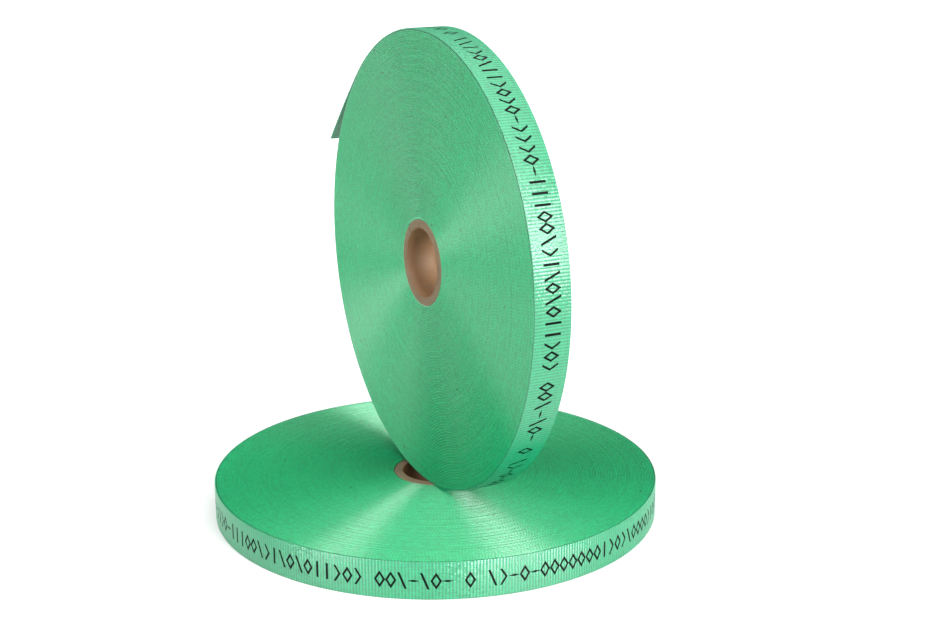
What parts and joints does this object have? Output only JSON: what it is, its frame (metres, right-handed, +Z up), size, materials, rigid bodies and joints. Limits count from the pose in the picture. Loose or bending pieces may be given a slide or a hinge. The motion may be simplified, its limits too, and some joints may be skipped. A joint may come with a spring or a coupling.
{
  "type": "lashing strap roll pair",
  "caption": "Pair of rolls of woven polyester lashing strap on paper cores, one lying flat and one standing on its rim on top, each with its free end.",
  "frame": {"origin": "centre of the flat roll's core bore, at the flat roll's lower face", "axes": "+Z up along the flat roll's core; -Y is the way the standing roll's front face looks, so its core lies along Y; +X to the right seen from the front"},
  "size_m": [0.478, 0.4598, 0.4989],
  "materials": {
    "strap_face": "satin",
    "strap_edges": "satin",
    "greyboard": "matte",
    "kraft_liner": "matte",
    "kraft_cover": "matte",
    "start_tape": "matte"
  },
  "bodies": {
    "flat_roll": {"flat_core_liner": "kraft_liner", "flat_core_tube": "greyboard", "flat_core_cover": "kraft_cover", "flat_start_tape": "start_tape", "flat_wound_coil": "strap_edges", "flat_last_turn": "strap_face"},
    "flat_end": {"flat_free_end": "strap_face"},
    "standing_roll": {"standing_core_liner": "kraft_liner", "standing_core_tube": "greyboard", "standing_core_cover": "kraft_cover", "standing_start_tape": "start_tape", "standing_wound_coil": "strap_edges", "standing_last_turn": "strap_face"},
    "standing_end": {"standing_free_end": "strap_face"}
  },
  "joints": [
    {"name": "standing_roll_lift", "type": "slide", "parent": "flat_roll", "child": "standing_roll", "axis": [0, 0, 1], "range_m": [0, 0.25]},
    {"name": "standing_end_peel", "type": "hinge", "parent": "standing_roll", "child": "standing_end", "pos_m": [-0.14343, -0.0037, 0.4343], "axis": [0, 1, 0], "range_deg": [0, 90]},
    {"name": "flat_end_peel", "type": "hinge", "parent": "flat_roll", "child": "flat_end", "pos_m": [-0.22744, 0.0401, 0.019], "axis": [0, 0, 1], "range_deg": [0, 90]}
  ]
}
